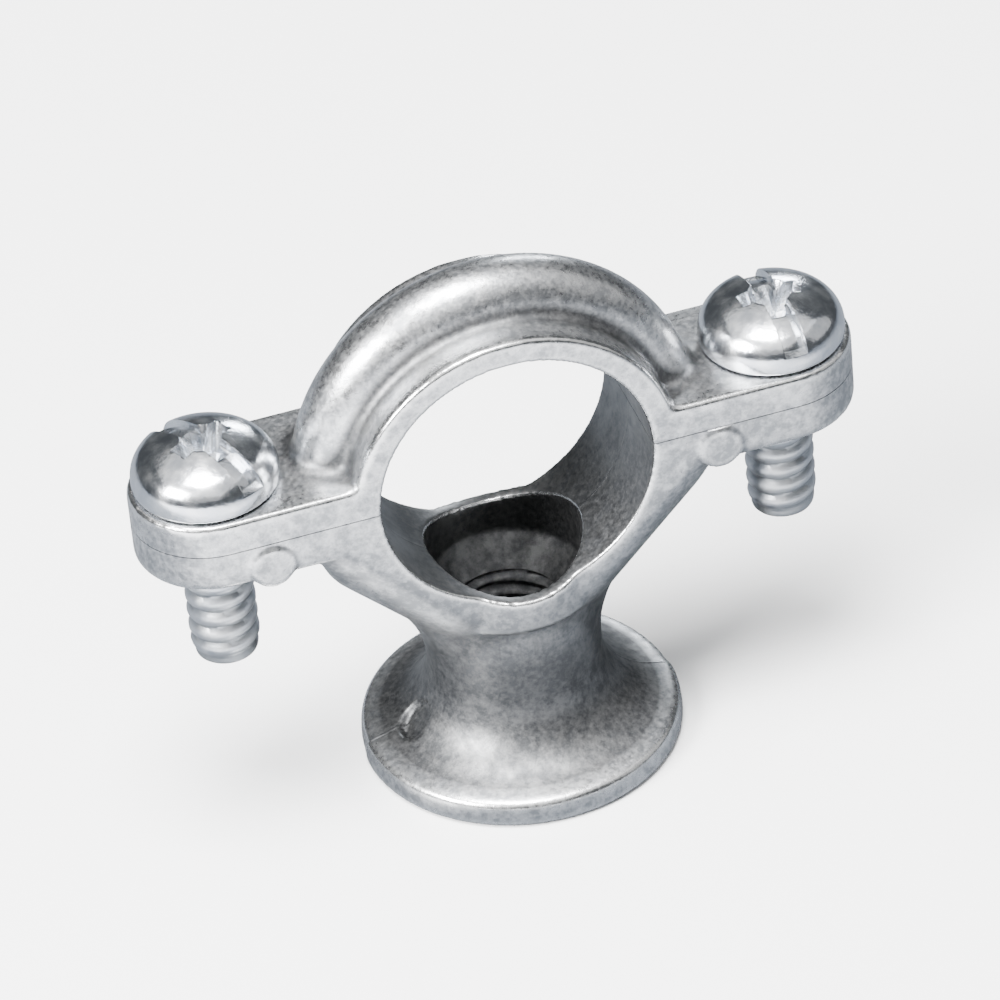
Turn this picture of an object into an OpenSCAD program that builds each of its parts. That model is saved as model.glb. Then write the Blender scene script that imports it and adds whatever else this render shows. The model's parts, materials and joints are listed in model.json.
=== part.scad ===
// Die-cast pipe clip on a tapped flange: a base casting, a cap strap and two screws.
// The pipe runs along Y, the ears and their screws lie along X, and the clip stands on its flange.

/* [Pipe ring] */
// Diameter of the pipe that the ring holds
pipe_d = 16; // [14:0.5:18]
// Width of the ring, the strap and the ears, along the pipe
strap_w = 9; // [8.8:0.1:9.8]
// Wall of the ring's flat band
band_t = 1.55; // [1.3:0.05:1.8]
// Height of the rounded bead over the band
bead_h = 2.35; // [1.6:0.05:2.4]
// Width of the bead round the cap and down the base's arms
bead_w = 4.4; // [3.6:0.2:4.6]

/* [Neck and flange] */
// Height of the pipe's axis over the flange's flat face
axis_h = 21; // [20:0.5:24]
// Diameter of the round flange
flange_d = 19; // [18:0.5:22]
// Thickness of the flange at its rim
rim_t = 1.7; // [1.3:0.1:2]
// Diameter of the neck
neck_d = 10.2; // [10:0.1:11]
// Radius of the trumpet fillet between the neck and the flange
trumpet_r = 4; // [2.5:0.1:4]
// Radius of the sweep between the neck and the arms
sweep_r = 8; // [6.5:0.25:8.5]
// Depth of the step line round the neck, below the pipe's axis
step_below_axis = 10.1; // [9.5:0.1:11]

/* [Neck hollow] */
// Diameter of the tapped hole, at the crests of its M7 x 1 thread
tapped_d = 5.92; // [5:0.01:6]
// Outer diameter of the tapped hole's countersink
countersink_d = 7.1; // [6.2:0.1:7.6]
// Diameter of the counterbore under the pipe
counterbore_d = 9; // [7.5:0.1:9.2]

/* [Ears] */
// Distance between the two screws
screw_span = 33.5; // [33:0.5:36]
// Thickness of the base's tapped ears
base_ear_t = 2.8; // [2.2:0.1:3.4]
// Thickness of the cap's ears
cap_ear_t = 1.95; // [1.5:0.05:2.4]
// Gap between the two castings
split_gap = 0.15; // [0.1:0.05:0.5]
// Radial clearance of a screw in the base's ear
thread_clearance = 0.05; // [0.03:0.01:0.1]
// Diameter of the clearance holes in the cap's ears
cap_hole_d = 4.6; // [4.3:0.1:5]

/* [Screws] */
// Outer diameter of the screw thread
screw_d = 4; // [3.5:0.1:4.2]
// Pitch of the screw thread
screw_pitch = 1.1; // [0.7:0.1:1.2]
// Length of a screw under its head
screw_len = 12; // [10:0.5:16]
// Diameter of the screw head
head_d = 8.4; // [7.5:0.1:8.8]
// Height of the screw head
head_h = 3; // [2.8:0.1:3.3]
// Play between a screw head and the cap's ear
head_gap = 0.15; // [0.05:0.05:0.3]
// How far the left screw's slot is turned from the pipe's direction
left_slot_turn = 27; // [0:1:179]
// How far the right screw's slot is turned from the pipe's direction
right_slot_turn = 2; // [0:1:179]

/* [Hidden] */
$fn = 96;
EPS = 0.01; // overlap that keeps joined solids whole
BIG = 100; // side of the blocks that cut the ring in half

bore_r = pipe_d / 2;
band_r = bore_r + band_t;
bead_r = band_r + bead_h;
neck_r = neck_d / 2;
flange_r = flange_d / 2;
ear_end_r = strap_w / 2;
screw_x = screw_span / 2;

rim_edge = 0.35; // rounding of the flange's rim
step_t = 0.25; // how far the collar over the step line stands out
collar_top_below_axis = 4; // the collar ends inside the pipe's bore
countersink_depth = (countersink_d - tapped_d) / 2;
floor_cone_h = 2.2; // the counterbore ends in a cone down to the tapped hole

// The sweep circle touches both the neck's side and the ring's outer circle
sweep_x = neck_r + sweep_r;
sweep_below_axis = sqrt((bead_r + sweep_r) * (bead_r + sweep_r) - sweep_x * sweep_x);

// Each arm is a round bar that slopes at 45 degrees and just reaches the ring's outer circle
arm_face_wall = 0.7; // wall of the ring at the edge of an arm's flat face
arm_face_r = bore_r + arm_face_wall;
arm_rise = bead_r - arm_face_r;
arm_r = (ear_end_r * ear_end_r + arm_rise * arm_rise) / (2 * arm_rise);

ear_taper_h = 0.65; // the base's ears narrow over this height at their underside
ear_taper = 1.1; // and come in by this much on each side
join_overlap = 1; // depth to which the bead starts inside the band

thread_depth = 0.42; // height of a thread ridge over the screw's core
thread_crest = 0.25; // flat on top of a ridge
thread_tip_chamfer = 0.6;
core_r = screw_d / 2 - thread_depth;
thread_start = cap_ear_t + head_gap + split_gap; // plain shank down to the base's ear
thread_turns = floor((screw_len - thread_start - thread_tip_chamfer) / screw_pitch);

head_under_r = head_d / 2 - 0.3; // the head is narrower at its underside
head_side_low = 0.25; // a bevel at the underside ends at this height
head_corner_r = 1.98; // rounding between the head's side and its domed top
head_corner_x = head_d / 2 - head_corner_r;
dome_tilt = 25; // slope of the head where the dome meets the rounding
dome_edge_r = head_corner_x + head_corner_r * sin(dome_tilt);
dome_r = dome_edge_r / sin(dome_tilt);
head_corner_z = head_h - dome_r * (1 - cos(dome_tilt)) - head_corner_r * cos(dome_tilt);
slot_w = 1.3;
slot_depth = 1.25;
cross_w = 1.15;
cross_span = 4.1;
cross_depth = 2.1;

// A ring about the pipe's axis, turned from a drawing of radius and place along the pipe.
module turned_about_pipe() {
    translate([0, 0, axis_h]) rotate([90, 0, 0]) rotate_extrude() children();
}

// The cap's flat band and the half-round bead that stands on it.
module ring_section() {
    bead_round_r = bead_w / 2;
    translate([bore_r / 2, -strap_w / 2]) square([band_r - bore_r / 2, strap_w]);
    intersection() {
        union() {
            translate([bead_r - bead_round_r, 0]) circle(bead_round_r);
            translate([band_r - join_overlap, -bead_round_r])
                square([bead_h + join_overlap - bead_round_r, bead_w]);
        }
        translate([band_r - join_overlap, -strap_w / 2]) square([bead_h + 2 * join_overlap, strap_w]);
    }
}

// The space above (side = 1) or below (side = -1) the level z.
module half_space(z, side) {
    translate([-BIG / 2, -BIG / 2, side > 0 ? z : z - BIG]) cube(BIG);
}

// Two plates with round ends, one each side of the ring.
module ears(z, t) {
    for (side = [-1, 1]) {
        translate([side * screw_x, 0, z]) cylinder(h = t, r = ear_end_r);
        ear_length = screw_x - bore_r;
        translate([side > 0 ? bore_r : -screw_x, -ear_end_r, z]) cube([ear_length, strap_w, t]);
    }
}

// The base's ears, whose undersides slope in to a narrower face.
module tapered_ears() {
    low_z = axis_h - base_ear_t;
    ears(low_z + ear_taper_h, base_ear_t - ear_taper_h);
    ear_length = screw_x - bore_r;
    for (side = [-1, 1]) {
        translate([side * screw_x, 0, low_z])
            cylinder(h = ear_taper_h, r1 = ear_end_r - ear_taper, r2 = ear_end_r);
        translate([side > 0 ? bore_r : -screw_x, 0, low_z])
            rotate([90, 0, 90]) linear_extrude(ear_length) polygon([
                [ear_taper - ear_end_r, 0], [ear_end_r - ear_taper, 0],
                [ear_end_r, ear_taper_h], [-ear_end_r, ear_taper_h]
            ]);
    }
}

module pipe_bore() {
    translate([0, 0, axis_h]) rotate([90, 0, 0]) cylinder(h = strap_w + 10, r = bore_r, center = true);
}

// The flange, the trumpet fillet, the neck and its collar, as one turned shape.
module flange_and_neck() {
    trumpet_top = rim_t + trumpet_r;
    step_z = axis_h - step_below_axis;
    collar_h = step_below_axis - collar_top_below_axis;
    rotate_extrude() {
        square([flange_r - rim_edge, rim_t]);
        square([flange_r, rim_t - rim_edge]);
        translate([flange_r - rim_edge, rim_t - rim_edge]) circle(rim_edge);
        difference() {
            square([neck_r + trumpet_r, trumpet_top]);
            translate([neck_r + trumpet_r, trumpet_top]) circle(trumpet_r);
        }
        square([neck_r, step_z]);
        translate([0, step_z - EPS]) square([neck_r + step_t, collar_h]);
    }
}

// The outline of both arms, seen along the pipe, with the pipe's axis at the origin.
module arms_outline() {
    difference() {
        union() {
            circle(bead_r);
            polygon([[0, 0], [sweep_x, -sweep_below_axis], [-sweep_x, -sweep_below_axis]]);
        }
        for (side = [-1, 1]) translate([side * sweep_x, -sweep_below_axis]) circle(sweep_r);
        translate([-BIG / 2, 0]) square(BIG);
    }
}

// The two arms: sloping round bars held to the outline, with a narrower bead down to the neck.
module arms() {
    translate([0, 0, axis_h]) {
        rotate([90, 0, 0]) linear_extrude(bead_w, center = true) arms_outline();
        intersection() {
            rotate([90, 0, 0]) linear_extrude(strap_w, center = true) arms_outline();
            for (side = [0, 1]) mirror([side, 0, 0]) {
                rotate([0, -45, 0]) translate([arm_r - bead_r, 0, arm_r - bead_r])
                    rotate([0, 90, 0]) cylinder(h = 2 * bead_r, r = arm_r);
            }
        }
    }
}

module neck_hollow() {
    counterbore_z = axis_h - step_below_axis;
    translate([0, 0, -1]) cylinder(h = axis_h, d = tapped_d);
    translate([0, 0, -EPS])
        cylinder(h = countersink_depth + EPS, r1 = countersink_d / 2 + EPS, r2 = tapped_d / 2);
    translate([0, 0, counterbore_z - floor_cone_h])
        cylinder(h = floor_cone_h, d1 = tapped_d, d2 = counterbore_d);
    translate([0, 0, counterbore_z - EPS]) cylinder(h = axis_h, d = counterbore_d);
}

module base_casting() {
    color("#b4b6b8") difference() {
        union() {
            flange_and_neck();
            arms();
            tapered_ears();
        }
        pipe_bore();
        half_space(axis_h, 1);
        neck_hollow();
        for (side = [-1, 1]) {
            translate([side * screw_x, 0, axis_h - base_ear_t - 1])
                cylinder(h = base_ear_t + 2, r = screw_d / 2 + thread_clearance);
        }
    }
}

module cap_strap() {
    split_z = axis_h + split_gap;
    color("#bbbdbf") difference() {
        union() {
            intersection() {
                turned_about_pipe() ring_section();
                half_space(split_z, 1);
            }
            ears(split_z, cap_ear_t);
        }
        pipe_bore();
        for (side = [-1, 1]) {
            translate([side * screw_x, 0, split_z - 1]) cylinder(h = cap_ear_t + 2, d = cap_hole_d);
        }
    }
}

// The head, turned about Z with its underside at z = 0.
module screw_head() {
    difference() {
        intersection() {
            rotate_extrude() {
                polygon([
                    [0, 0], [head_under_r, 0], [head_d / 2, head_side_low],
                    [head_d / 2, head_corner_z], [0, head_corner_z]
                ]);
                square([dome_edge_r, head_h + 1]);
                intersection() {
                    translate([head_corner_x, head_corner_z]) circle(head_corner_r);
                    translate([0, head_corner_z - EPS]) square(head_d);
                }
            }
            translate([0, 0, head_h - dome_r]) sphere(dome_r);
        }
        translate([-slot_w / 2, -head_d, head_h - slot_depth]) cube([slot_w, 2 * head_d, head_h]);
        for (turn = [0, 90]) {
            rotate([0, 0, turn]) translate([-cross_w / 2, -cross_span / 2, head_h - cross_depth])
                cube([cross_w, cross_span, head_h]);
        }
    }
}

// The shank, with its thread as a row of rings below the plain part.
module screw_shank() {
    tip_r = core_r - thread_tip_chamfer / 2;
    flank = (screw_pitch - thread_crest) / 2;
    ridges = [for (i = [0:thread_turns - 1]) let (z = -thread_start - i * screw_pitch)
        each [[core_r, z], [screw_d / 2, z - flank], [screw_d / 2, z - flank - thread_crest]]];
    rotate_extrude() polygon(concat(
        [[0, EPS], [core_r, EPS]],
        ridges,
        [[core_r, -thread_start - thread_turns * screw_pitch]],
        [[core_r, thread_tip_chamfer - screw_len], [tip_r, -screw_len], [0, -screw_len]]
    ));
}

module placed_screw(side, slot_turn) {
    head_z = axis_h + split_gap + cap_ear_t + head_gap;
    color("#cfd3d8") translate([side * screw_x, 0, head_z]) {
        rotate([0, 0, slot_turn]) screw_head();
        screw_shank();
    }
}

module screw_left() {
    placed_screw(-1, left_slot_turn);
}

module screw_right() {
    placed_screw(1, right_slot_turn);
}

base_casting();
cap_strap();
screw_left();
screw_right();
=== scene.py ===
"""A die-cast zinc pipe clip on a tapped flange, with its two plated screws, on a pale floor."""

import json
import math

import bpy
import numpy as np
from mathutils import Matrix, Vector


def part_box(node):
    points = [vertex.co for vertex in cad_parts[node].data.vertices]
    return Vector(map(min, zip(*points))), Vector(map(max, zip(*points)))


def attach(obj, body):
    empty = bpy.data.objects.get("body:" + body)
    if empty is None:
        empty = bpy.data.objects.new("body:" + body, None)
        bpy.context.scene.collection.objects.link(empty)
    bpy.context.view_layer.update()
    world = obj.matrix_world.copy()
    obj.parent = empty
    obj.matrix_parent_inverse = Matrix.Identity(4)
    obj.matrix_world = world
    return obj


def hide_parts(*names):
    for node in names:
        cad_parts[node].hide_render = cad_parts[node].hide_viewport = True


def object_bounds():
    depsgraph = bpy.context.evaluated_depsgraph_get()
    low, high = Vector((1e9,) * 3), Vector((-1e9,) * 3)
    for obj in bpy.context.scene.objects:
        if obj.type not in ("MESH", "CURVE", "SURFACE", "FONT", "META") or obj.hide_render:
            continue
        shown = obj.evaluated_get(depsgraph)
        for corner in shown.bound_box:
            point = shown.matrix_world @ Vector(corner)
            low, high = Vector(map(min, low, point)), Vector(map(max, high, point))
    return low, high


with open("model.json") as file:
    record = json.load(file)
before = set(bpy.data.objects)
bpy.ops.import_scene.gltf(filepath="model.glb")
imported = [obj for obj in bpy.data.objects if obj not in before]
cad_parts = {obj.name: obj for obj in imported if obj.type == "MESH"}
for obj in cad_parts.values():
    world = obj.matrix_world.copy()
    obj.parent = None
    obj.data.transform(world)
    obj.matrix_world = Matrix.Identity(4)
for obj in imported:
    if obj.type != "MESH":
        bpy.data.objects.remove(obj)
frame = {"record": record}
cad_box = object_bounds()

MM = 0.001
TURN = 2 * math.pi
SIDES = (-1, 1)  # left and right of the pipe
POINT_GAP = 1e-7  # points nearer to each other than this are one point
ON_MIDDLE = 1e-6  # points this near the middle plane count as lying on it
FAR = 1.0  # well outside the clip, for blanks that only cut

# ---------------------------------------------------------------- sizes taken from the frame

mounts = {m["name"]: m for m in frame["record"]["mounts"]}
base_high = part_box("base_casting")[1]
cap_low, cap_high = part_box("cap_strap")
screw_low, screw_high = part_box("screw_left")

AXIS_H = mounts["pipe_clamp"]["pos_m"][2]
BORE_R = mounts["pipe_clamp"]["dims"]["r_mm"] * MM
TAPPED_R = mounts["stud_thread"]["dims"]["r_mm"] * MM
FLANGE_R = base_high.y
BEAD_R = cap_high.z - AXIS_H
SPLIT_Z = cap_low.z
EAR_R = cap_high.y
SCREW_X = base_high.x - EAR_R
SCREW_TIP = screw_low.z
SCREW_TOP = screw_high.z
HEAD_R = (screw_high.x - screw_low.x) / 2

# ---------------------------------------------------------------- sizes of the screws

HEAD_H = 3.0 * MM
HEAD_Z = SCREW_TOP - HEAD_H
HEAD_FOOT_R = 0.25 * MM  # rounding of the head's lower edge
HEAD_CORNER_R = 1.98 * MM
DOME_TILT = 25  # slope in degrees where the corner runs into the dome
SLOT_HALF_W = 0.68 * MM
SLOT_DEPTH = 0.6 * MM
CROSS_HALF_W = 0.62 * MM
CROSS_REACH = 2.1 * MM
CROSS_FLOOR = 0.95 * MM
CONE_FLOOR_R = 0.5 * MM
CONE_TOP_R = 1.32 * MM
SLOT_TURNS = {-1: math.radians(27), 1: math.radians(2)}

SHANK_LEN = HEAD_Z - SCREW_TIP
SHANK_RINGS = 120
THREAD_R = 2.0 * MM
THREAD_ROOT_R = 1.78 * MM
THREAD_PITCH = 1.1 * MM
THREAD_TOP_Z = -0.6 * MM  # measured from the head's underside

# ---------------------------------------------------------------- sizes of the castings

RIM_T = 1.7 * MM
RIM_EDGE_R = 0.4 * MM
RIM_BACK_SHARE = 0.985  # the back half of the mould sits in a little
NECK_R = 5.1 * MM
NECK_TOP_Z = AXIS_H - 4 * MM
TRUMPET_R = 4.1 * MM
STEP_Z = AXIS_H - 10.1 * MM
COLLAR_STEP = 0.27 * MM
FLARE_DEPTH = 4.42 * MM
FLARE_TOP_Z = AXIS_H - 6 * MM
SWEEP_R = 8 * MM
ARM_FLAT_R = BORE_R + 0.7 * MM
ARM_SLOPE = math.radians(45)

BAND_R = BORE_R + 1.5 * MM
BEAD_W = 4.4 * MM
BASE_EAR_T = 2.8 * MM
EAR_TAPER_H = 0.65 * MM
EAR_TAPER_INSET = 1.1 * MM
CAP_EAR_T = 1.95 * MM
SEAT_RISE = 0.09 * MM  # the castings nearly touch once the screws are tight
BASE_HOLE_R = THREAD_R + 0.06 * MM
CAP_HOLE_R = THREAD_R + 0.3 * MM

POCKET_R = 4.5 * MM
POCKET_Z = STEP_Z - 0.1 * MM
POCKET_FLOOR_Z = POCKET_Z - 2.2 * MM
COUNTERSINK_R = 3.55 * MM
TAPPED_PITCH = 1.0 * MM
TAPPED_DEPTH = 0.5 * MM
TAPPED_RINGS = 110

PAD_R = 1.3 * MM
PAD_LEN = 2.34 * MM
PAD_MIDDLE_Y = -EAR_R + 0.95 * MM
PAD_PLACES = ((-14.5 * MM, 1.5 * MM), (11.9 * MM, 1.3 * MM))  # along X, and below the pipe's axis
GATE_R = 1.2 * MM
GATE_LEN = 4 * MM
GATE_DEPTH = 0.22 * MM
GATE_PLACE = Vector((-6.4, -0.6, 2.82)) * MM
GATE_OUTWARD = Vector((-0.74, 0.1, 0.66)).normalized()

# ---------------------------------------------------------------- meshes and marks

ROUGH_CELL = 0.22 * MM  # mesh size at which the castings' inside corners are filled
FINE_CELL = 0.135 * MM  # mesh size of the finished castings
CASTING_FACES = 165000

MARK_ROUNDS = 6  # how often a mark is blended with its neighbours
BEND_LIMIT = 4
EDGE_GAIN = 0.16
# painted shade: how far hollows and the low stem are painted darker
HOLLOW_ROUNDS = 150
HOLLOW_GAIN = 2.2
BULGE_LIMIT = 0.03
LOW_GAIN = 0.42
LOW_START_Z = AXIS_H - 6 * MM  # painted shade: the stem darkens gently below this height
LOW_FADE = 7 * MM
LOW_RIM_R = FLANGE_R - 0.3 * MM  # and stays bright on the flange's rim
LOW_RIM_FADE = 1.2 * MM


# ---------------------------------------------------------------- tools for one object


def only(obj):
    """Makes obj the one selected and active object."""
    bpy.ops.object.select_all(action="DESELECT")
    obj.hide_viewport = False
    obj.select_set(True)
    bpy.context.view_layer.objects.active = obj


def modify(obj, kind, **settings):
    """Adds one modifier and applies it."""
    only(obj)
    modifier = obj.modifiers.new(kind.title(), kind)
    for key, value in settings.items():
        setattr(modifier, key, value)
    bpy.ops.object.modifier_apply(modifier=modifier.name)


def settle(obj, name=None):
    """Puts the object's place into its mesh, so that the object itself sits at the origin."""
    only(obj)
    bpy.ops.object.transform_apply(location=True, rotation=True, scale=True)
    if name:
        obj.name = name
        obj.data.name = name
    return obj


def combine(obj, other, operation):
    """Joins, cuts or trims obj with another solid, which is then removed."""
    modify(obj, "BOOLEAN", object=other, operation=operation, solver="MANIFOLD")
    bpy.data.objects.remove(other)
    return obj


def join(obj, *others):
    """Joins the others to obj."""
    for other in others:
        combine(obj, other, "UNION")
    return obj


def cut(obj, *others):
    """Cuts the others out of obj."""
    for other in others:
        combine(obj, other, "DIFFERENCE")
    return obj


def trim(obj, other):
    """Keeps what obj shares with the other."""
    return combine(obj, other, "INTERSECT")


def first_point(name, point):
    """A mesh of one vertex at a point, in edit mode, made from a small plane."""
    bpy.ops.object.select_all(action="DESELECT")
    bpy.ops.mesh.primitive_plane_add(size=MM)
    obj = bpy.context.object
    obj.name = name
    bpy.ops.object.mode_set(mode="EDIT")
    bpy.ops.mesh.select_all(action="SELECT")
    bpy.ops.mesh.merge(type="CENTER")
    bpy.ops.transform.translate(value=point)
    return obj


def drawn_line(name, points):
    """A chain of edges through the points, left in edit mode with its last vertex selected."""
    obj = first_point(name, points[0])
    for here, there in zip(points, points[1:]):
        step = Vector(there) - Vector(here)
        bpy.ops.mesh.extrude_region_move(TRANSFORM_OT_translate={"value": step})
    return obj


def turned(name, profile, steps=128):
    """A solid turned about Z from (radius, height) points that start and end on the axis."""
    obj = drawn_line(name, [(r, 0, z) for r, z in profile])
    bpy.ops.mesh.select_all(action="SELECT")
    bpy.ops.mesh.spin(steps=steps, angle=TURN, center=(0, 0, 0), axis=(0, 0, 1))
    bpy.ops.mesh.select_all(action="SELECT")
    bpy.ops.mesh.remove_doubles(threshold=POINT_GAP)
    bpy.ops.mesh.normals_make_consistent(inside=False)
    bpy.ops.object.mode_set(mode="OBJECT")
    return obj


def plate(name, outline, width):
    """A plate cut to an outline of (x, z) points, its thickness along Y."""
    front = -width / 2
    obj = drawn_line(name, [(x, front, z) for x, z in outline])
    bpy.ops.mesh.select_all(action="SELECT")
    bpy.ops.mesh.edge_face_add()
    bpy.ops.mesh.extrude_region_move(TRANSFORM_OT_translate={"value": (0, width, 0)})
    bpy.ops.mesh.select_all(action="SELECT")
    bpy.ops.mesh.normals_make_consistent(inside=False)
    bpy.ops.object.mode_set(mode="OBJECT")
    return obj


def bar(name, radius, length, place, turn=(0, 0, 0), sides=128):
    """A round bar, as a blank for cutting and joining."""
    bpy.ops.object.select_all(action="DESELECT")
    bpy.ops.mesh.primitive_cylinder_add(
        vertices=sides, radius=radius, depth=length, location=place, rotation=turn
    )
    return settle(bpy.context.object, name)


def block(name, low, high):
    """A rectangular blank between two corners."""
    low, high = Vector(low), Vector(high)
    bpy.ops.object.select_all(action="DESELECT")
    bpy.ops.mesh.primitive_cube_add(size=1, location=(low + high) / 2, scale=high - low)
    return settle(bpy.context.object, name)


def arc(centre, radius, start, end, count):
    """Points on an arc, in degrees."""
    angles = [math.radians(start + (end - start) * i / count) for i in range(count + 1)]
    return [(centre[0] + radius * math.cos(a), centre[1] + radius * math.sin(a)) for a in angles]


# ---------------------------------------------------------------- whole-mesh tools


def mesh_arrays(mesh):
    """Vertex positions, the two ends of every edge, and how many edges meet at each vertex."""
    places = np.empty(len(mesh.vertices) * 3)
    mesh.vertices.foreach_get("co", places)
    ends = np.empty(len(mesh.edges) * 2, np.int64)
    mesh.edges.foreach_get("vertices", ends)
    ends = ends.reshape(-1, 2)
    meeting = np.bincount(ends.ravel(), minlength=len(mesh.vertices))
    return places.reshape(-1, 3), ends, np.maximum(meeting, 1)


def pull_to_neighbours(places, ends, meeting):
    """For each vertex, the step to the middle of its neighbours."""
    a, b = ends[:, 0], ends[:, 1]
    total = np.empty_like(places)
    for k in range(places.shape[1]):
        total[:, k] = np.bincount(a, places[b, k], len(places))
        total[:, k] += np.bincount(b, places[a, k], len(places))
    return total / meeting[:, None] - places


def vertex_normals(mesh):
    normals = np.empty(len(mesh.vertices) * 3)
    mesh.vertices.foreach_get("normal", normals)
    return normals.reshape(-1, 3)


def fill_inside_corners(obj, rounds, share=0.6, renew=4):
    """Fills the inside corners of a dense mesh as a casting's fillets do, and leaves its edges.
    The normals are taken afresh once in so many rounds, given by renew."""
    mesh = obj.data
    places, ends, meeting = mesh_arrays(mesh)
    for i in range(rounds):
        if i % renew == 0:
            mesh.vertices.foreach_set("co", places.ravel())
            mesh.update()
            normals = vertex_normals(mesh)
        step = pull_to_neighbours(places, ends, meeting)
        hollow = (step * normals).sum(1) > 0
        places += share * step * hollow[:, None]
    mesh.vertices.foreach_set("co", places.ravel())
    mesh.update()


def evened(values, ends, meeting, rounds, share=0.6):
    """The values at the vertices, blended with those of their neighbours again and again."""
    values = values.copy()
    for _ in range(rounds):
        values += share * pull_to_neighbours(values, ends, meeting)
    return values


def store_mark(mesh, name, mark):
    """Stores one mark from 0 to 1 for every vertex."""
    layer = mesh.attributes.new(name, "FLOAT", "POINT")
    layer.data.foreach_set("value", np.clip(mark, 0, 1).astype(np.float32))


def mark_edges(obj):
    """Stores how far each vertex stands on an outer edge (1) or in an inside corner (0)."""
    mesh = obj.data
    places, ends, meeting = mesh_arrays(mesh)
    step = pull_to_neighbours(places, ends, meeting)
    lengths = np.linalg.norm(places[ends[:, 0]] - places[ends[:, 1]], axis=1)
    spread = np.bincount(ends[:, 0], lengths**2, len(places))
    spread += np.bincount(ends[:, 1], lengths**2, len(places))
    bend = -(step * vertex_normals(mesh)).sum(1) / (spread / meeting) * MM * 4
    bend = np.clip(bend, -BEND_LIMIT, BEND_LIMIT)[:, None]
    bend = evened(bend, ends, meeting, MARK_ROUNDS)[:, 0]
    store_mark(mesh, "edge_mark", 0.5 + bend * EDGE_GAIN)


def mark_painted_shade(obj):
    """Stores a painted shade mark: how far each vertex lies in a broad hollow, or low on the stem
    inside the rim, where the shade is painted darker.
    """
    mesh = obj.data
    places, ends, meeting = mesh_arrays(mesh)
    eased = evened(places, ends, meeting, HOLLOW_ROUNDS, share=0.7)
    depth = ((eased - places) * vertex_normals(mesh)).sum(1)[:, None] / MM
    depth = evened(depth, ends, meeting, MARK_ROUNDS)[:, 0]
    from_axis = np.hypot(places[:, 0], places[:, 1])
    low = np.clip((LOW_START_Z - places[:, 2]) / LOW_FADE, 0, 1)
    low *= np.clip((LOW_RIM_R - from_axis) / LOW_RIM_FADE, 0, 1)
    mark = 0.5 + np.maximum(depth, -BULGE_LIMIT) * HOLLOW_GAIN + LOW_GAIN * low
    store_mark(mesh, "hollow_mark", mark)


def finish_casting(obj):
    """Rounds every edge slightly at the fine mesh size, marks the mesh and thins it."""
    modify(obj, "REMESH", mode="VOXEL", voxel_size=FINE_CELL)
    modify(obj, "SMOOTH", factor=0.5, iterations=9)
    mark_edges(obj)
    mark_painted_shade(obj)
    triangles = len(obj.data.polygons) * 2
    ratio = min(1.0, CASTING_FACES / triangles)
    modify(obj, "DECIMATE", ratio=ratio, use_collapse_triangulate=True)


# ---------------------------------------------------------------- shared shapes


def add_rings(obj, low, high, count):
    """Cuts level rings of points into a bar's side, evenly spaced from low to high."""
    only(obj)
    bpy.ops.object.mode_set(mode="EDIT")
    for i in range(1, count):
        bpy.ops.mesh.select_all(action="SELECT")
        level = low + (high - low) * i / count
        bpy.ops.mesh.bisect(plane_co=(0, 0, level), plane_no=(0, 0, 1))
    bpy.ops.object.mode_set(mode="OBJECT")


def shape_thread(obj, root_r, crest_r, pitch, start, end, slope):
    """Moves the points on a bar's side in and out along a right-hand helix, which fades out
    over one pitch at the start and at the end."""
    crest = 1.3  # more than 1, so that the ridge has a rounded flat on top
    places, _, _ = mesh_arrays(obj.data)
    radius = np.hypot(places[:, 0], places[:, 1])
    height_z = places[:, 2]
    around = np.arctan2(places[:, 1], places[:, 0]) / TURN
    phase = (height_z / pitch - around) % 1.0
    height = np.clip(crest - np.abs(phase - 0.5) * slope, 0, 1)
    height = height * height * (3 - 2 * height)
    fade = np.clip((height_z - start) / pitch, 0, 1) * np.clip((end - height_z) / pitch, 0, 1)
    wanted = root_r + (crest_r - root_r) * height * fade
    side = radius > 0.9 * root_r
    places[side, :2] *= (wanted / np.maximum(radius, 1e-9))[side, None]
    obj.data.vertices.foreach_set("co", places.ravel())
    obj.data.update()


def ear_plate(name, z_low, z_high):
    """Two flat ears with full round ends, one each side of the ring."""
    ears = block(name, (-SCREW_X, -EAR_R, z_low), (SCREW_X, EAR_R, z_high))
    for side in SIDES:
        end = bar("ear_end", EAR_R, z_high - z_low, (side * SCREW_X, 0, (z_low + z_high) / 2))
        join(ears, end)
    return cut(ears, block("gap", (-BORE_R, -FAR, z_low - MM), (BORE_R, FAR, z_high + MM)))


def cut_bore(casting):
    """Cuts the round hole that holds the pipe."""
    cut(casting, bar("bore", BORE_R, 40 * MM, (0, 0, AXIS_H), (TURN / 4, 0, 0), sides=256))


def drill_ears(casting, radius):
    """Cuts the screw holes through both ears."""
    for side in SIDES:
        cut(casting, bar("ear_hole", radius, 10 * MM, (side * SCREW_X, 0, AXIS_H)))


def wide_slab(name, z_low, z_high):
    """A block wider than the clip, for cutting a casting off flat."""
    return block(name, (-40 * MM, -20 * MM, z_low), (40 * MM, 20 * MM, z_high))


# ---------------------------------------------------------------- the base casting


def make_stem():
    """The flange, its trumpet fillet and the neck; the back half of the rim sits in a little."""
    foot_in, foot_up, side_in, top_in = 0.25 * MM, 0.2 * MM, 0.05 * MM, 0.12 * MM
    edge = (FLANGE_R - RIM_EDGE_R - top_in, RIM_T - RIM_EDGE_R)
    trumpet = (NECK_R + TRUMPET_R, RIM_T + TRUMPET_R + 0.05 * MM)
    profile = [(0, 0), (FLANGE_R - foot_in, 0), (FLANGE_R - side_in, foot_up)]
    profile += arc(edge, RIM_EDGE_R, 10, 90, 6)
    profile += arc(trumpet, TRUMPET_R, -100, -180, 20)
    profile += [(NECK_R, NECK_TOP_Z), (0, NECK_TOP_Z)]
    stem = turned("stem", profile)
    for vertex in stem.data.vertices:
        if vertex.co.y > ON_MIDDLE and vertex.co.z < RIM_T + MM:
            vertex.co.xy *= RIM_BACK_SHARE
    return stem


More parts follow.
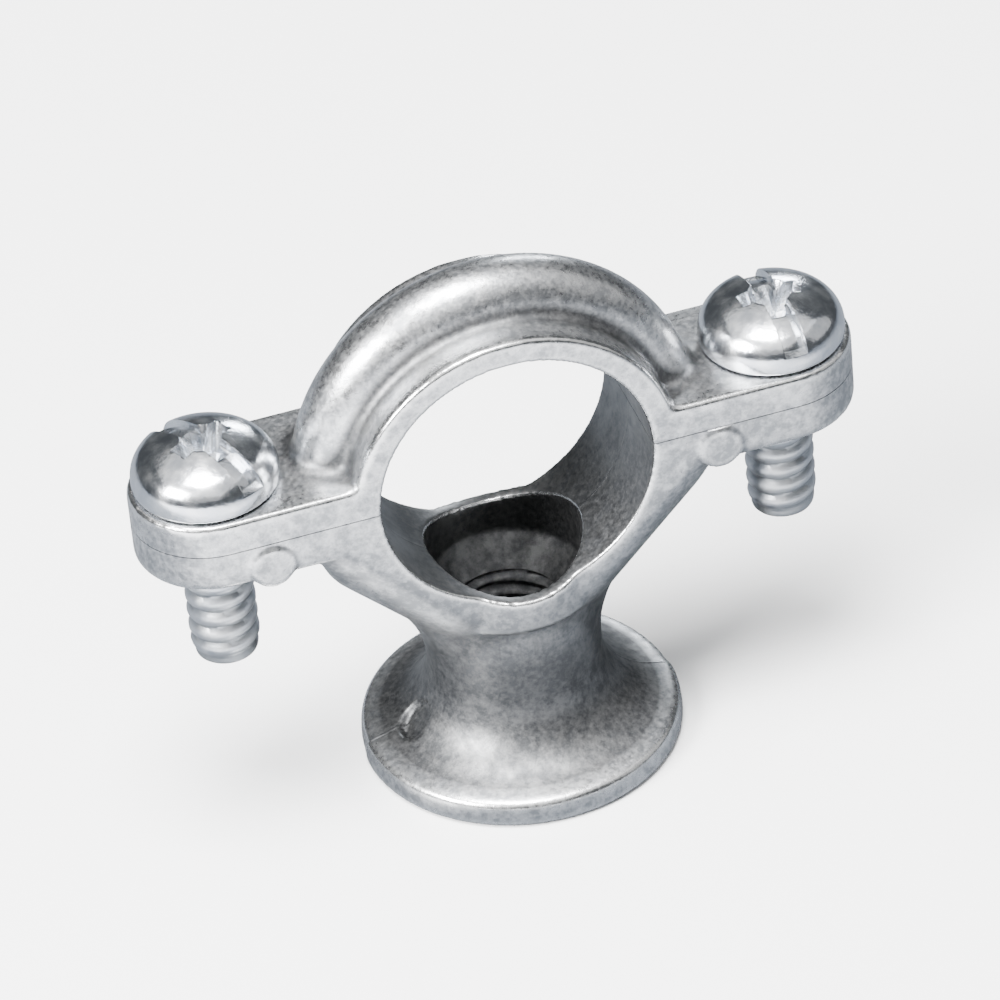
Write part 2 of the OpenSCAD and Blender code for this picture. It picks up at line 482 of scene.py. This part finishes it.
def arms_outline():
    """The arms' outline seen along the pipe: the ring's circle, swept into the neck."""
    sweep_x = NECK_R + SWEEP_R
    sweep_z = -math.sqrt((BEAD_R + SWEEP_R) ** 2 - sweep_x**2)
    meet = math.degrees(math.atan2(-sweep_z, sweep_x))
    right = arc((0, 0), BEAD_R, 0, -meet, 24)
    right += arc((sweep_x, sweep_z), SWEEP_R, 180 - meet, 180, 18)[1:]
    left = [(-x, z) for x, z in reversed(right)]
    return [(x, z + AXIS_H) for x, z in right + left]


def make_flare():
    """The neck's sweep into the arms: as wide as their outline along X and narrow along Y."""
    right = [(x, z) for x, z in arms_outline() if x > 0 and z < FLARE_TOP_Z]
    profile = [(0, right[0][1])] + right + [(0, right[-1][1])]
    flare = turned("flare", profile)
    for vertex in flare.data.vertices:
        width = np.interp(-vertex.co.z, [-z for _, z in right], [x for x, _ in right])
        vertex.co.y *= FLARE_DEPTH / width
    return flare


def make_arms():
    """Two sloping round bars trimmed to the arms' outline, and the flare into the neck."""
    rise = BEAD_R - ARM_FLAT_R
    bar_r = (EAR_R**2 + rise**2) / (2 * rise)
    reach = BEAD_R - bar_r
    arms = None
    for side in SIDES:
        along = Vector((side * math.cos(ARM_SLOPE), 0, math.sin(ARM_SLOPE)))
        foot = Vector((side * math.cos(ARM_SLOPE), 0, -math.sin(ARM_SLOPE))) * reach
        middle = foot + along * (BEAD_R - reach) + Vector((0, 0, AXIS_H))
        one = bar("arm", bar_r, 2 * BEAD_R, middle, (0, side * ARM_SLOPE, 0))
        arms = one if arms is None else join(arms, one)
    trim(arms, plate("outline", arms_outline(), 2 * EAR_R))
    return join(arms, make_flare())


def make_collar():
    """The slightly thicker top of the neck, which leaves a step line all round it."""
    collar_r = NECK_R + COLLAR_STEP
    profile = [(0, STEP_Z), (collar_r, STEP_Z), (collar_r, NECK_TOP_Z), (0, NECK_TOP_Z)]
    return turned("collar", profile)


def make_base_ears():
    """Ears whose underside slopes in to a narrower face; they reach above the split plane."""
    z_low = AXIS_H - BASE_EAR_T
    z_mid = z_low + EAR_TAPER_H
    ears = ear_plate("base_ears", z_mid, AXIS_H + MM)
    under = ear_plate("base_ears_under", z_low, z_mid)
    share = (EAR_R - EAR_TAPER_INSET) / EAR_R
    for vertex in under.data.vertices:
        if vertex.co.z < (z_low + z_mid) / 2:
            vertex.co.y *= share
            past = abs(vertex.co.x) - SCREW_X
            if past > 0:
                vertex.co.x = math.copysign(SCREW_X + past * share, vertex.co.x)
    return join(ears, under)


def ejector_pads():
    """Round marks left by the mould's pins on the front of the ears."""
    pads = []
    for x, drop in PAD_PLACES:
        place = (x, PAD_MIDDLE_Y, AXIS_H - drop)
        pads.append(bar("pad", PAD_R, PAD_LEN, place, (TURN / 4, 0, 0)))
    return pads


def gate_mark():
    """The shallow round dent on the trumpet fillet where the gate was broken off."""
    middle = GATE_PLACE + GATE_OUTWARD * (GATE_LEN / 2 - GATE_DEPTH)
    aim = GATE_OUTWARD.to_track_quat("Z", "Y").to_euler()
    return bar("gate", GATE_R, GATE_LEN, middle, aim)


def make_pocket():
    """The counterbore under the pipe, its sloping floor and the start of the tapped hole."""
    foot_z = POCKET_FLOOR_Z - 1 * MM
    profile = [(0, foot_z), (TAPPED_R, foot_z), (TAPPED_R, POCKET_FLOOR_Z)]
    profile += [(POCKET_R, POCKET_Z), (POCKET_R, AXIS_H), (0, AXIS_H)]
    return turned("pocket", profile)


def make_countersink():
    """The cone that opens the tapped hole at the flange's face."""
    top_z = COUNTERSINK_R - TAPPED_R
    return turned("mouth", [(0, -MM), (COUNTERSINK_R + MM, -MM), (TAPPED_R, top_z), (0, top_z)])


def thread_cutter():
    """A threaded plug that cuts the tapped hole."""
    low, high = -1 * MM, POCKET_FLOOR_Z + 1 * MM
    plug = bar("tap", TAPPED_R, high - low, (0, 0, (low + high) / 2), sides=96)
    add_rings(plug, low, high, TAPPED_RINGS)
    crest_r = TAPPED_R + TAPPED_DEPTH
    shape_thread(plug, TAPPED_R, crest_r, TAPPED_PITCH, low, high, slope=3.2)
    return plug


def make_base_casting():
    base = join(make_stem(), make_arms())
    join(base, make_base_ears())
    modify(base, "REMESH", mode="VOXEL", voxel_size=ROUGH_CELL)
    fill_inside_corners(base, 26)
    modify(base, "SMOOTH", factor=0.5, iterations=3)

    join(base, make_collar(), *ejector_pads())
    cut_bore(base)
    cut(base, gate_mark())
    cut(base, make_pocket())
    drill_ears(base, BASE_HOLE_R)
    finish_casting(base)
    cut(base, wide_slab("above", AXIS_H + SEAT_RISE, 60 * MM))
    return cut(base, thread_cutter(), make_countersink())


# ---------------------------------------------------------------- the cap strap


def make_ring():
    """A whole ring round the pipe with a rounded bead along its middle."""
    half_bead = BEAD_W / 2
    section = [(BORE_R / 2, -EAR_R), (BAND_R, -EAR_R), (BAND_R, -half_bead)]
    section += arc((BEAD_R - half_bead, 0), half_bead, -90, 90, 20)
    section += [(BAND_R, half_bead), (BAND_R, EAR_R), (BORE_R / 2, EAR_R), (BORE_R / 2, -EAR_R)]
    ring = turned("ring", section, steps=192)
    ring.rotation_euler = (TURN / 4, 0, 0)
    ring.location = (0, 0, AXIS_H)
    return settle(ring)


def make_cap_strap():
    """The upper half ring with its bead, and its two thin ears."""
    cap = join(make_ring(), ear_plate("cap_ears", AXIS_H - MM, SPLIT_Z + CAP_EAR_T))
    modify(cap, "REMESH", mode="VOXEL", voxel_size=ROUGH_CELL)
    fill_inside_corners(cap, 16)
    modify(cap, "SMOOTH", factor=0.5, iterations=2)

    cut_bore(cap)
    drill_ears(cap, CAP_HOLE_R)
    finish_casting(cap)
    return cut(cap, wide_slab("below", -20 * MM, SPLIT_Z))


# ---------------------------------------------------------------- the screws


def dome_outline(inset, corner_steps, dome_steps):
    """The head's outline over its rounded corner to the top of its dome, set in by a depth."""
    tilt = math.radians(DOME_TILT)
    corner_x = HEAD_R - HEAD_CORNER_R
    dome_r = (corner_x + HEAD_CORNER_R * math.sin(tilt)) / math.sin(tilt)
    corner_z = HEAD_H - dome_r * (1 - math.cos(tilt)) - HEAD_CORNER_R * math.cos(tilt)
    corner_r = HEAD_CORNER_R - inset
    outline = arc((corner_x, corner_z), corner_r, 0, 90 - DOME_TILT, corner_steps)
    outline += arc((0, HEAD_H - dome_r), dome_r - inset, 90 - DOME_TILT, 90, dome_steps)[1:-1]
    return outline + [(0, HEAD_H - inset)]


def make_slot():
    """A block across the head whose floor follows the dome."""
    slot = block("slot", (-SLOT_HALF_W, -6 * MM, 1.1 * MM), (SLOT_HALF_W, 6 * MM, 5 * MM))
    core = [(0, 0), (HEAD_R - SLOT_DEPTH, 0)] + dome_outline(SLOT_DEPTH, 12, 10)
    return cut(slot, turned("core", core))


def cross_arm(turn):
    """A tapered blade, wider at the head's surface than at its foot."""
    low = (-CROSS_HALF_W, -CROSS_REACH, CROSS_FLOOR)
    blade = block("cross", low, (CROSS_HALF_W, CROSS_REACH, HEAD_H + MM))
    for vertex in blade.data.vertices:
        if vertex.co.z < HEAD_H:
            vertex.co.y *= 0.6
            vertex.co.x *= 0.8
    blade.rotation_euler = (0, 0, turn)
    return settle(blade)


def make_head():
    """A domed head with a slot, a cross and a small cone in the middle of the cross."""
    profile = [(0, 0), (HEAD_R - 0.4 * MM, 0)]
    profile += arc((HEAD_R - HEAD_FOOT_R, HEAD_FOOT_R), HEAD_FOOT_R, -70, 0, 6)
    profile += dome_outline(0, 16, 14)
    head = turned("head", profile)
    cut(head, make_slot(), cross_arm(0), cross_arm(TURN / 4))
    top_z = HEAD_H + 0.2 * MM
    cone = [(0, CROSS_FLOOR), (CONE_FLOOR_R, CROSS_FLOOR), (CONE_TOP_R, top_z), (0, top_z)]
    cut(head, turned("centre", cone, steps=64))
    soften(head, 0.09 * MM, 2, 35)
    return head


def make_shank():
    """The threaded shank, hanging down from the head's underside."""
    shank = bar("shank", THREAD_ROOT_R, SHANK_LEN, (0, 0, -SHANK_LEN / 2), sides=72)
    add_rings(shank, 0, -SHANK_LEN, SHANK_RINGS)
    sizes = (THREAD_ROOT_R, THREAD_R, THREAD_PITCH)
    shape_thread(shank, *sizes, -SHANK_LEN, THREAD_TOP_Z, slope=2.7)
    soften(shank, 0.35 * MM, 3, 60)
    return shank


def soften(obj, width, segments, sharper_than):
    """Bevels the edges that are sharper than an angle in degrees."""
    limit = math.radians(sharper_than)
    modify(
        obj, "BEVEL", width=width, segments=segments, limit_method="ANGLE", angle_limit=limit
    )


def make_screw(side):
    """One screw at its place, its slot turned as it was left when tightened."""
    screw, shank = make_head(), make_shank()
    only(screw)
    shank.select_set(True)
    bpy.ops.object.join()
    screw.rotation_euler = (0, 0, SLOT_TURNS[side])
    screw.location = (side * SCREW_X, 0, HEAD_Z)
    return settle(screw)


# ---------------------------------------------------------------- looks of the materials

# noise scales of the cast skin, in repeats a metre
BLOTCH_SCALE, PATCH_SCALE, GRAIN_SCALE = 1300, 320, 3200
BLOTCH_SHARE, PATCH_SHARE = 0.6, 0.4
EDGE_START, EDGE_GROWTH = 0.57, 5.0  # the mark at which an edge begins to shine, and how fast
HOLLOW_START, HOLLOW_GROWTH = 0.53, 3.0
BROKEN_EDGE, BROKEN_HOLLOW = 1.2, 0.5  # how much the blotches break up edges and hollows
EDGE_LOST_IN_HOLLOW = 0.7

WORN_ZINC = (0.93, 0.93, 0.92, 1)
WORN_COVER = 0.6
# how much the painted shade darkens the colour
PAINTED_SHADE_COVER = 0.74
MOTTLE_START, MOTTLE_CONTRAST = 0.4, 4.4
GRAIN_CONTRAST = 1.7
ZINC_BUMP = {"strength": 0.5, "distance": 0.04 * MM}
BASE_ZINC = {"light": (0.72, 0.725, 0.73, 1), "dark": (0.34, 0.35, 0.365, 1), "rough": 0.36}
CAP_ZINC = {"light": (0.75, 0.755, 0.76, 1), "dark": (0.37, 0.38, 0.395, 1), "rough": 0.33}
BASE_SEAM, CAP_SEAM = 0.9, 0.0  # height of the mould's parting line
SEAM_HALF_W = 0.12 * MM
# painted shade inside the pipe's bore, and deeper in the pocket and tapped hole
BORE_PAINTED_SHADE, HOLE_PAINTED_SHADE = 0.82, 0.92
HOLE_FOOT_Z = 0.2 * MM  # the painted shade of the tapped hole starts above the flange's face
HOLE_TOP_Z = AXIS_H - 5 * MM

PLATE_CLOUD_SCALE, PLATE_GRAIN_SCALE = 700, 4000
PLATE_ROUGH, SHANK_ROUGHER = 0.15, 0.2
# how much the shank is dulled, and the painted shade in the thread's grooves
SHANK_DULL, GROOVE_PAINTED_SHADE = 0.3, 0.5
GROOVE_R = 0.98 * THREAD_R
PLATE_BUMP = {"strength": 0.3, "distance": 0.08 * MM}
PLATE_LIGHT = (0.9, 0.915, 0.93, 1)
PLATE_DARK = (0.62, 0.65, 0.7, 1)
# the grey of the duller shank and of the painted shade in the thread's grooves
SHANK_GREY_AND_GROOVE_SHADE = (0.2, 0.21, 0.22, 1)

FLOOR_SEEN = (0.97, 0.97, 0.97, 1)
# painted reflections: colours that only glossy rays see on the floor
PAINTED_REFLECTION_BEHIND = (0.11, 0.12, 0.135, 1)
PAINTED_REFLECTION_FRONT = (0.72, 0.73, 0.75, 1)
FRONT_START_Y = -16 * MM
PAINTED_REFLECTION_PATCH_PLACE = (-13 * MM, -8.5 * MM, 0)  # a painted reflection: a white patch, seen only in glossy rays, that brightens the trumpet fillet
PAINTED_REFLECTION_PATCH_FADE = 4.5 * MM
PAINTED_REFLECTION_WHITE = (1, 1, 1, 1)


def socket(group, name, kind, way, value=None):
    made = group.interface.new_socket(name=name, in_out=way, socket_type=kind)
    if value is not None:
        made.default_value = value


def add(nodes, kind, **settings):
    """A node with its properties, and with the inputs whose names start with in_."""
    node = nodes.new(kind)
    for key, value in settings.items():
        if key.startswith("in_"):
            node.inputs[key[3:].replace("_", " ")].default_value = value
        else:
            setattr(node, key, value)
    return node


def mathed(tree, operation, a, b=None, clamp=False):
    """A Math node; a and b are numbers or output sockets."""
    node = add(tree.nodes, "ShaderNodeMath", operation=operation, use_clamp=clamp)
    for slot, value in zip(node.inputs, (a, b)):
        if isinstance(value, (int, float)):
            slot.default_value = value
        elif value is not None:
            tree.links.new(value, slot)
    return node.outputs[0]


def times(tree, a, b, clamp=False):
    return mathed(tree, "MULTIPLY", a, b, clamp)


def ramp(tree, value, start, gain, clamp=False):
    """The value's distance past the start, times the gain."""
    return times(tree, mathed(tree, "SUBTRACT", value, start), gain, clamp)


def plus(tree, value, other, share, clamp=False):
    """The value plus a share of another."""
    return mathed(tree, "ADD", value, times(tree, other, share), clamp)


def one_less(tree, value, share):
    """1 less a share of the value."""
    return mathed(tree, "SUBTRACT", 1.0, times(tree, value, share))


def noise(tree, place, scale, detail, rough):
    node = add(
        tree.nodes, "ShaderNodeTexNoise", in_Scale=scale, in_Detail=detail, in_Roughness=rough
    )
    tree.links.new(place, node.inputs["Vector"])
    return node.outputs["Fac"]


def blend_colours(tree, factor, first, second):
    """A Mix node for colours; each argument is a value or an output socket."""
    node = add(tree.nodes, "ShaderNodeMix", data_type="RGBA")
    sockets = [s for s in node.inputs if s.enabled]
    for slot, value in zip(sockets, (factor, first, second)):
        if isinstance(value, (tuple, float)):
            slot.default_value = value
        else:
            tree.links.new(value, slot)
    return [s for s in node.outputs if s.enabled][0]


def add_bump(tree, shader, height, strength, distance):
    bump = add(tree.nodes, "ShaderNodeBump", in_Strength=strength, in_Distance=distance)
    tree.links.new(height, bump.inputs["Height"])
    tree.links.new(bump.outputs["Normal"], shader.inputs["Normal"])


def split_place(tree, place):
    """The three coordinates of a place."""
    split = add(tree.nodes, "ShaderNodeSeparateXYZ")
    tree.links.new(place, split.inputs[0])
    return split.outputs["X"], split.outputs["Y"], split.outputs["Z"]


def radius_from(tree, a, b):
    """The distance from an axis, from the two coordinates across it."""
    squares = mathed(tree, "ADD", times(tree, a, a), times(tree, b, b))
    return mathed(tree, "SQRT", squares)


def within(tree, distance, limit):
    """1 where the distance is under the limit, 0 a little beyond it."""
    return ramp(tree, distance, limit + 0.05 * MM, -1 / (0.03 * MM), clamp=True)


def new_material(name):
    """A material with its node tree, its Principled shader and its Object coordinates."""
    material = bpy.data.materials.new(name)
    material.use_nodes = True
    tree = material.node_tree
    place = add(tree.nodes, "ShaderNodeTexCoord").outputs["Object"]
    return material, tree, tree.nodes["Principled BSDF"], place


# ---------------------------------------------------------------- materials


def cast_skin_and_shade_group():
    """Mottling, fine grain and worn edges of a die-cast skin, painted shade in its hollows, and
    its height.
    """
    group = bpy.data.node_groups.new("Cast skin", "ShaderNodeTree")
    socket(group, "Vector", "NodeSocketVector", "INPUT")
    socket(group, "Edge mark", "NodeSocketFloat", "INPUT", 0.5)
    socket(group, "Hollow mark", "NodeSocketFloat", "INPUT", 0.5)
    outputs = ("Mottle", "Grain", "Worn edge", "Dull hollow", "Height")
    for name in outputs:
        socket(group, name, "NodeSocketFloat", "OUTPUT")
    inside = group.nodes.new("NodeGroupInput")
    outside = group.nodes.new("NodeGroupOutput")
    place = inside.outputs["Vector"]

    blotch = noise(group, place, BLOTCH_SCALE, detail=5, rough=0.65)
    patch = noise(group, place, PATCH_SCALE, detail=3, rough=0.5)
    grain = noise(group, place, GRAIN_SCALE, detail=2, rough=0.7)
    mottle = plus(group, times(group, blotch, BLOTCH_SHARE), patch, PATCH_SHARE)
    broken = ramp(group, blotch, 0.5, BROKEN_EDGE)
    edge = ramp(group, inside.outputs["Edge mark"], EDGE_START, EDGE_GROWTH)
    edge = mathed(group, "ADD", edge, broken, clamp=True)
    # painted shade: how much darker each hollow and the low stem are painted
    hollow = ramp(group, inside.outputs["Hollow mark"], HOLLOW_START, HOLLOW_GROWTH)
    hollow = plus(group, hollow, broken, BROKEN_HOLLOW, clamp=True)
    edge = times(group, edge, one_less(group, hollow, EDGE_LOST_IN_HOLLOW))
    height = plus(group, times(group, blotch, 0.5), grain, 0.5)
    for name, value in zip(outputs, (mottle, grain, edge, hollow, height)):
        group.links.new(value, outside.inputs[name])
    return group


def painted_shade_inside_mark(tree, x, y, z):
    """The painted shade mark of the pipe's bore, and the deeper one of the pocket and tapped
    hole.
    """
    from_pipe = radius_from(tree, x, mathed(tree, "SUBTRACT", z, AXIS_H))
    bore = within(tree, from_pipe, BORE_R)
    hole = within(tree, radius_from(tree, x, y), POCKET_R)
    hole = times(tree, hole, within(tree, z, HOLE_TOP_Z))
    hole = times(tree, hole, ramp(tree, z, HOLE_FOOT_Z, 5 / MM, clamp=True))
    bore, hole = times(tree, bore, BORE_PAINTED_SHADE), times(tree, hole, HOLE_PAINTED_SHADE)
    return mathed(tree, "MAXIMUM", bore, hole)


def cast_zinc(name, skin, light, dark, rough, seam):
    """Satin grey die-cast zinc: mottled and grainy, brighter on worn edges, with painted shade
    that darkens and dulls its hollows, bore, tapped hole and low stem.
    The seam is the height of the mould's parting line along the middle of the pipe ring."""
    material, tree, shader, place = new_material(name)
    shader.inputs["Metallic"].default_value = 1.0
    x, y, z = split_place(tree, place)
    edge_mark = add(tree.nodes, "ShaderNodeAttribute", attribute_name="edge_mark")
    hollow_mark = add(tree.nodes, "ShaderNodeAttribute", attribute_name="hollow_mark")
    # painted shade mark: broad hollows and the low stem, or the bore and tapped hole
    hollow = mathed(tree, "MAXIMUM", hollow_mark.outputs["Fac"], painted_shade_inside_mark(tree, x, y, z))
    group = add(tree.nodes, "ShaderNodeGroup", node_tree=skin)
    tree.links.new(place, group.inputs["Vector"])
    tree.links.new(edge_mark.outputs["Fac"], group.inputs["Edge mark"])
    tree.links.new(hollow, group.inputs["Hollow mark"])
    mottle, grain, worn, dull_and_painted_shade, height = [group.outputs[i] for i in range(5)]

    grainy = ramp(tree, grain, 0.5, GRAIN_CONTRAST)
    mottled = ramp(tree, mottle, MOTTLE_START, MOTTLE_CONTRAST)
    spread = mathed(tree, "ADD", mottled, grainy, clamp=True)
    colour = blend_colours(tree, spread, dark, light)
    colour = blend_colours(tree, times(tree, worn, WORN_COVER), colour, WORN_ZINC)
    # painted shade: the colour is scaled darker in hollows, in the bore and tapped hole, and low
    # on the stem
    darkened = add(tree.nodes, "ShaderNodeVectorMath", operation="SCALE")
    tree.links.new(colour, darkened.inputs["Vector"])
    tree.links.new(one_less(tree, dull_and_painted_shade, PAINTED_SHADE_COVER), darkened.inputs["Scale"])
    tree.links.new(darkened.outputs["Vector"], shader.inputs["Base Color"])

    roughness = mathed(tree, "ADD", rough, times(tree, grainy, 0.16))
    roughness = mathed(tree, "ADD", roughness, ramp(tree, mottle, 0.5, -0.4))
    roughness = plus(tree, roughness, dull_and_painted_shade, 0.12)
    roughness = plus(tree, roughness, worn, -0.1, clamp=True)
    tree.links.new(roughness, shader.inputs["Roughness"])

    across = mathed(tree, "DIVIDE", mathed(tree, "ABSOLUTE", y), SEAM_HALF_W)
    line = mathed(tree, "SUBTRACT", 1.0, across, clamp=True)
    add_bump(tree, shader, plus(tree, height, line, seam), **ZINC_BUMP)
    return material


def bright_plate(name, side):
    """Bright zinc plate, a little cloudy, duller on the shank, with painted shade greying the
    thread's grooves.
    """
    material, tree, shader, place = new_material(name)
    shader.inputs["Metallic"].default_value = 1.0
    shifted = add(tree.nodes, "ShaderNodeMapping", in_Location=(-side * SCREW_X, 0, 0))
    tree.links.new(place, shifted.inputs["Vector"])
    centred = shifted.outputs["Vector"]
    x, y, z = split_place(tree, centred)
    clouds = noise(tree, centred, PLATE_CLOUD_SCALE, detail=4, rough=0.6)
    grain = noise(tree, centred, PLATE_GRAIN_SCALE, detail=2, rough=0.6)
    groove_shade = ramp(tree, radius_from(tree, x, y), GROOVE_R, -5.2 / MM, clamp=True)
    below = ramp(tree, z, HEAD_Z, -1.5 / MM, clamp=True)

    cloudy = ramp(tree, clouds, 0.38, 3.5, clamp=True)
    colour = blend_colours(tree, cloudy, PLATE_DARK, PLATE_LIGHT)
    # duller shank, and painted shade in the thread's grooves
    dull_and_painted_shade = mathed(tree, "ADD", SHANK_DULL, times(tree, groove_shade, GROOVE_PAINTED_SHADE))
    dull_and_painted_shade = times(tree, below, dull_and_painted_shade)
    colour = blend_colours(tree, dull_and_painted_shade, colour, SHANK_GREY_AND_GROOVE_SHADE)
    tree.links.new(colour, shader.inputs["Base Color"])

    uneven = ramp(tree, clouds, 0.4, 0.35)
    roughness = mathed(tree, "ADD", PLATE_ROUGH, uneven, clamp=True)
    roughness = plus(tree, roughness, below, SHANK_ROUGHER, clamp=True)
    tree.links.new(roughness, shader.inputs["Roughness"])
    add_bump(tree, shader, plus(tree, clouds, grain, 0.3), **PLATE_BUMP)
    return material


def pale_floor():
    """A pale floor that glossy rays see as a painted reflection: a darker room, lighter in front
    than behind, with a white patch.
    """
    material, tree, shader, place = new_material("Pale paper")
    x, y, _ = split_place(tree, place)
    # painted reflection, lighter in front and to the left
    front = ramp(tree, y, FRONT_START_Y, -0.045 / MM, clamp=True)
    left = mathed(tree, "SUBTRACT", 0.75, times(tree, x, 0.008 / MM), clamp=True)
    front = times(tree, front, left)
    mirrored = blend_colours(tree, front, PAINTED_REFLECTION_BEHIND, PAINTED_REFLECTION_FRONT)

    # painted reflection: a white patch that brightens the trumpet fillet
    away = add(tree.nodes, "ShaderNodeVectorMath", operation="DISTANCE")
    away.inputs[1].default_value = PAINTED_REFLECTION_PATCH_PLACE
    tree.links.new(place, away.inputs[0])
    share = mathed(tree, "DIVIDE", away.outputs["Value"], PAINTED_REFLECTION_PATCH_FADE)
    patch = mathed(tree, "SUBTRACT", 1.2, share, clamp=True)
    mirrored = blend_colours(tree, patch, mirrored, PAINTED_REFLECTION_WHITE)

    # glossy rays see the painted reflection, the camera sees the pale floor
    path = add(tree.nodes, "ShaderNodeLightPath")
    colour = blend_colours(tree, path.outputs["Is Glossy Ray"], FLOOR_SEEN, mirrored)
    tree.links.new(colour, shader.inputs["Base Color"])
    shader.inputs["Roughness"].default_value = 0.8
    shader.inputs["Specular IOR Level"].default_value = 0.1
    return material


def give(obj, material, body, node, sharp):
    """Finishes a piece: its shading, material, body and CAD node. Edges bent by more
    than the sharp angle, in degrees, stay sharp."""
    only(obj)
    bpy.ops.object.shade_smooth_by_angle(angle=math.radians(sharp))
    obj.data.materials.clear()
    obj.data.materials.append(material)
    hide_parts(node)
    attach(obj, body)


# ---------------------------------------------------------------- light, floor and camera

LIGHTS = (  # name, place, size, power and colour; the panels are there to be mirrored
    ("key", (-0.34, -0.14, 0.26), 0.18, 7.4, (1, 1, 1)),
    ("top", (-0.06, -0.06, 0.5), 0.22, 9.2, (1, 1, 1)),
    ("overhead panel", (-0.05, -0.08, 0.46), 0.85, 2.2, (1, 1, 1)),
    ("side panel", (0.42, -0.12, 0.3), 0.4, 0.3, (1, 1, 1)),
    ("front panel", (-0.13, -0.5, 0.4), 0.45, 0.35, (1, 1, 1)),
    ("back", (0.2, 0.4, 0.16), 0.08, 0.5, (0.9, 0.95, 1)),
)
ROOM_COLOUR, ROOM_STRENGTH = (0.9, 0.95, 1.0, 1), 0.11

CAMERA_AZIMUTH = 14.7
CAMERA_ELEVATION = 37.8
CAMERA_ROLL = -5.5
CAMERA_DISTANCE = 0.4127
CAMERA_LENS = 262


def area_light(name, place, size, power, colour):
    """A square light aimed at the middle of the clip."""
    light = bpy.data.lights.new(name, "AREA")
    light.size = size
    light.energy = power
    light.color = colour
    obj = bpy.data.objects.new(name, light)
    bpy.context.scene.collection.objects.link(obj)
    obj.location = place
    aim = Vector((0, 0, AXIS_H)) - Vector(place)
    obj.rotation_euler = aim.to_track_quat("-Z", "Y").to_euler()


def make_studio():
    bpy.ops.object.select_all(action="DESELECT")
    bpy.ops.mesh.primitive_plane_add(size=3, location=(0, 0, 0))
    floor = bpy.context.object
    floor.name = "floor"
    floor.data.materials.append(pale_floor())

    world = bpy.data.worlds.new("Soft room")
    world.use_nodes = True
    background = world.node_tree.nodes["Background"]
    background.inputs["Color"].default_value = ROOM_COLOUR
    background.inputs["Strength"].default_value = ROOM_STRENGTH
    bpy.context.scene.world = world
    for light in LIGHTS:
        area_light(*light)


def make_camera():
    """A long lens in front, above and to the left, aimed at the middle of the clip's height."""
    lens = bpy.data.cameras.new("camera")
    lens.sensor_width = 36
    lens.lens = CAMERA_LENS
    lens.clip_start = 0.01
    lens.clip_end = 20
    camera = bpy.data.objects.new("camera", lens)
    bpy.context.scene.collection.objects.link(camera)
    turn, lift = math.radians(CAMERA_AZIMUTH), math.radians(CAMERA_ELEVATION)
    away = math.cos(lift)
    back = Vector((-math.sin(turn) * away, -math.cos(turn) * away, math.sin(lift)))
    target = Vector((0, 0, (cad_box[0].z + cad_box[1].z) / 2))
    look = (-back).to_track_quat("-Z", "Y").to_matrix().to_4x4()
    roll = Matrix.Rotation(math.radians(CAMERA_ROLL), 4, "Z")
    camera.matrix_world = Matrix.Translation(target + back * CAMERA_DISTANCE) @ look @ roll
    bpy.context.scene.camera = camera


# ---------------------------------------------------------------- the whole scene

skin = cast_skin_and_shade_group()
base_zinc = cast_zinc("Cast zinc, base", skin, **BASE_ZINC, seam=BASE_SEAM)
cap_zinc = cast_zinc("Cast zinc, cap", skin, **CAP_ZINC, seam=CAP_SEAM)

base = settle(make_base_casting(), "base_casting_cast")
give(base, base_zinc, "base", "base_casting", sharp=75)

cap = settle(make_cap_strap(), "cap_strap_cast")
give(cap, cap_zinc, "cap", "cap_strap", sharp=75)

for side, body, node in ((-1, "left_screw", "screw_left"), (1, "right_screw", "screw_right")):
    screw = settle(make_screw(side), node + "_plated")
    plate_look = bright_plate("Bright plate, " + body.replace("_", " "), side)
    give(screw, plate_look, body, node, sharp=40)

make_studio()
make_camera()
